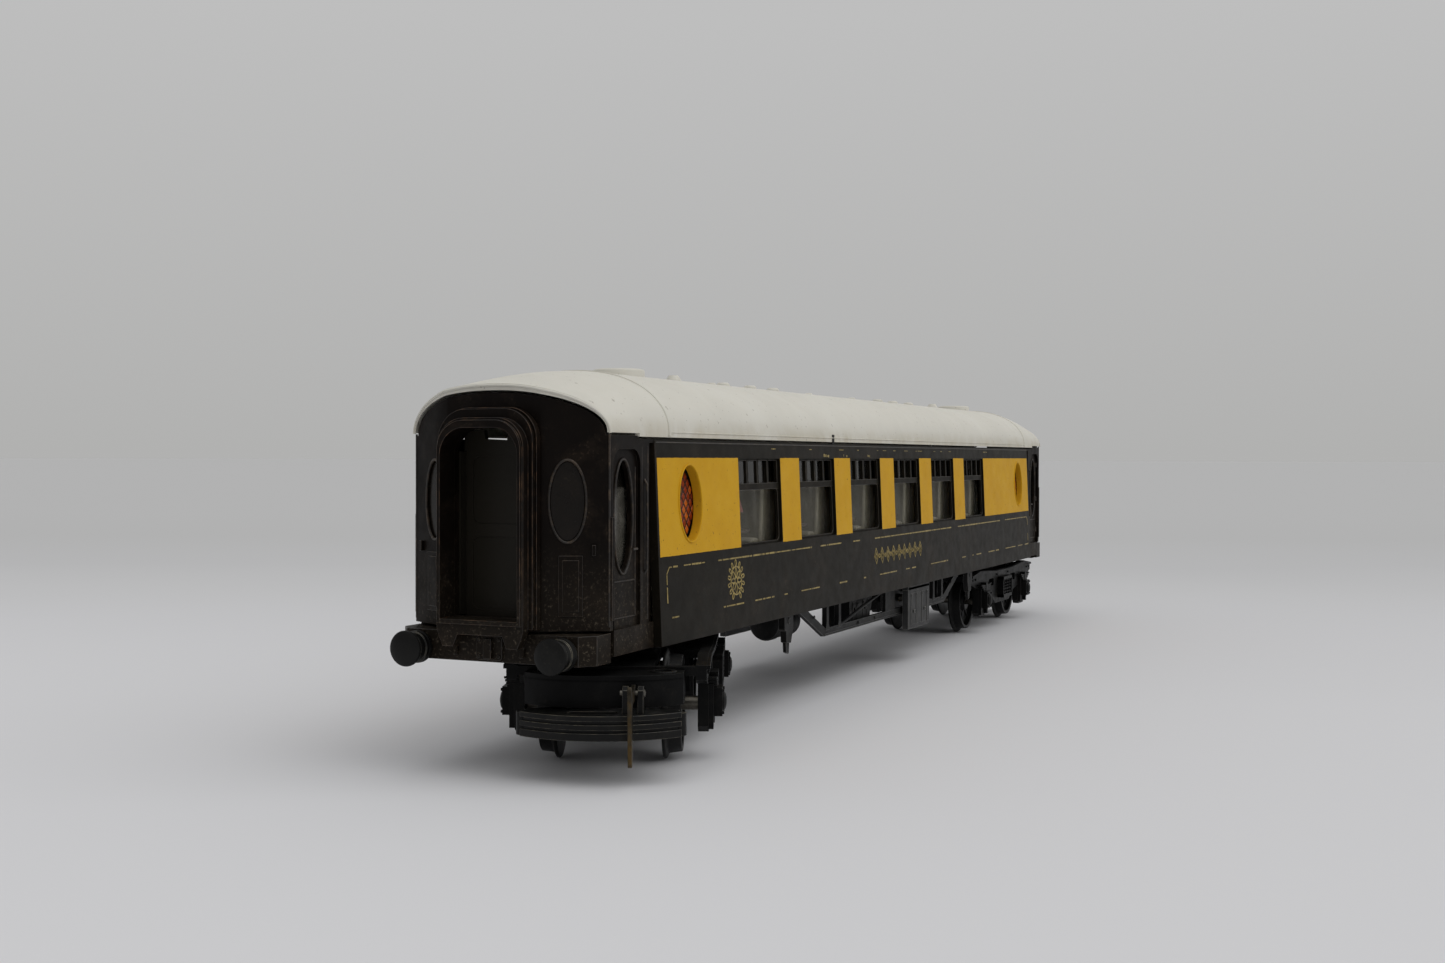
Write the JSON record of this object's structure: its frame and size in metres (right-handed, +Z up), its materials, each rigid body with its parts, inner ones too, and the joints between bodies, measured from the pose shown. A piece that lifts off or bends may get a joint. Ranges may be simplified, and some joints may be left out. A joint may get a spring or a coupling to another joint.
{
  "type": "model railway coach",
  "caption": "Scale model parlour coach with windowed body, roof, gangway ends and underframe, on swivelling bogies with turning wheelsets and lifting coupling hooks.",
  "frame": {"origin": "on the plane that the wheels stand on, under the middle of the coach body", "axes": "+X along the coach, from the end whose bogie is turned to the straight end; +Y across; +Z up"},
  "size_m": [0.2694, 0.0485, 0.0559],
  "materials": {
    "umber_plastic": "satin moulded plastic, dark umber with cream and gold painted bands",
    "roof_plastic": "off-white moulded plastic",
    "black_plastic": "black moulded plastic",
    "underframe_plastic": "dark grey moulded plastic",
    "interior_plastic": "grey moulded plastic",
    "clear_glazing": "clear moulded strip",
    "smoked_glazing": "dull grey tinted plastic",
    "plain_steel": "plain steel with a dull surface",
    "wheel_plastic": "black moulded plastic"
  },
  "bodies": {
    "coach": {"body_shell": "umber_plastic", "roof": "roof_plastic", "glazing_near": "clear_glazing", "glazing_far": "clear_glazing", "door_glass_front_near": "smoked_glazing", "door_glass_front_far": "smoked_glazing", "door_glass_rear_near": "smoked_glazing", "door_glass_rear_far": "smoked_glazing", "end_door_front": "smoked_glazing", "end_door_rear": "smoked_glazing", "gangway_front": "umber_plastic", "gangway_rear": "umber_plastic", "interior_seats": "interior_plastic", "ballast_bar": "plain_steel", "underframe": "underframe_plastic", "truss_near": "underframe_plastic", "truss_far": "underframe_plastic", "battery_box_near": "underframe_plastic", "battery_box_far": "underframe_plastic", "regulator_box": "underframe_plastic", "vacuum_cylinder": "underframe_plastic", "dynamo": "underframe_plastic", "buffer_beam_front": "umber_plastic", "buffer_beam_rear": "umber_plastic", "buffer_front_near": "black_plastic", "buffer_front_far": "black_plastic", "buffer_rear_near": "black_plastic", "buffer_rear_far": "black_plastic", "pivot_pin_front": "plain_steel", "pivot_pin_rear": "plain_steel"},
    "bogie_front": {"bogie_frame_front": "black_plastic", "coupling_front": "black_plastic", "hook_pin_front": "plain_steel"},
    "hook_front": {"coupling_hook_front": "plain_steel"},
    "wheelset_front_outer": {"axle_front_outer": "plain_steel", "wheel_front_outer_a": "wheel_plastic", "wheel_front_outer_b": "wheel_plastic"},
    "wheelset_front_inner": {"axle_front_inner": "plain_steel", "wheel_front_inner_a": "wheel_plastic", "wheel_front_inner_b": "wheel_plastic"},
    "bogie_rear": {"bogie_frame_rear": "black_plastic", "coupling_rear": "black_plastic", "hook_pin_rear": "plain_steel"},
    "hook_rear": {"coupling_hook_rear": "plain_steel"},
    "wheelset_rear_outer": {"axle_rear_outer": "plain_steel", "wheel_rear_outer_a": "wheel_plastic", "wheel_rear_outer_b": "wheel_plastic"},
    "wheelset_rear_inner": {"axle_rear_inner": "plain_steel", "wheel_rear_inner_a": "wheel_plastic", "wheel_rear_inner_b": "wheel_plastic"}
  },
  "joints": [
    {"name": "bogie_front_swivel", "type": "hinge", "parent": "coach", "child": "bogie_front", "pos_m": [-0.09088, 0, 0.0136], "axis": [0, 0, 1], "range_deg": [-47.5, 2.5]},
    {"name": "hook_front_lift", "type": "hinge", "parent": "bogie_front", "child": "hook_front", "pos_m": [-0.12489, -0.01877, 0.0118], "axis": [-0.3827, 0.9239, 0], "range_deg": [0, 30]},
    {"name": "wheelset_front_outer_spin", "type": "hinge", "parent": "bogie_front", "child": "wheelset_front_outer", "pos_m": [-0.10946, -0.0077, 0.0078], "axis": [0.3827, -0.9239, 0], "continuous": true},
    {"name": "wheelset_front_inner_spin", "type": "hinge", "parent": "bogie_front", "child": "wheelset_front_inner", "pos_m": [-0.0723, 0.0077, 0.0078], "axis": [0.3827, -0.9239, 0], "continuous": true},
    {"name": "bogie_rear_swivel", "type": "hinge", "parent": "coach", "child": "bogie_rear", "pos_m": [0.09088, 0, 0.0136], "axis": [0, 0, 1], "range_deg": [-25, 25]},
    {"name": "hook_rear_lift", "type": "hinge", "parent": "bogie_rear", "child": "hook_rear", "pos_m": [0.12948, 0.00432, 0.0118], "axis": [0, -1, 0], "range_deg": [0, 30]},
    {"name": "wheelset_rear_outer_spin", "type": "hinge", "parent": "bogie_rear", "child": "wheelset_rear_outer", "pos_m": [0.11099, 0, 0.0078], "axis": [0, 1, 0], "continuous": true},
    {"name": "wheelset_rear_inner_spin", "type": "hinge", "parent": "bogie_rear", "child": "wheelset_rear_inner", "pos_m": [0.07077, 0, 0.0078], "axis": [0, 1, 0], "continuous": true}
  ]
}
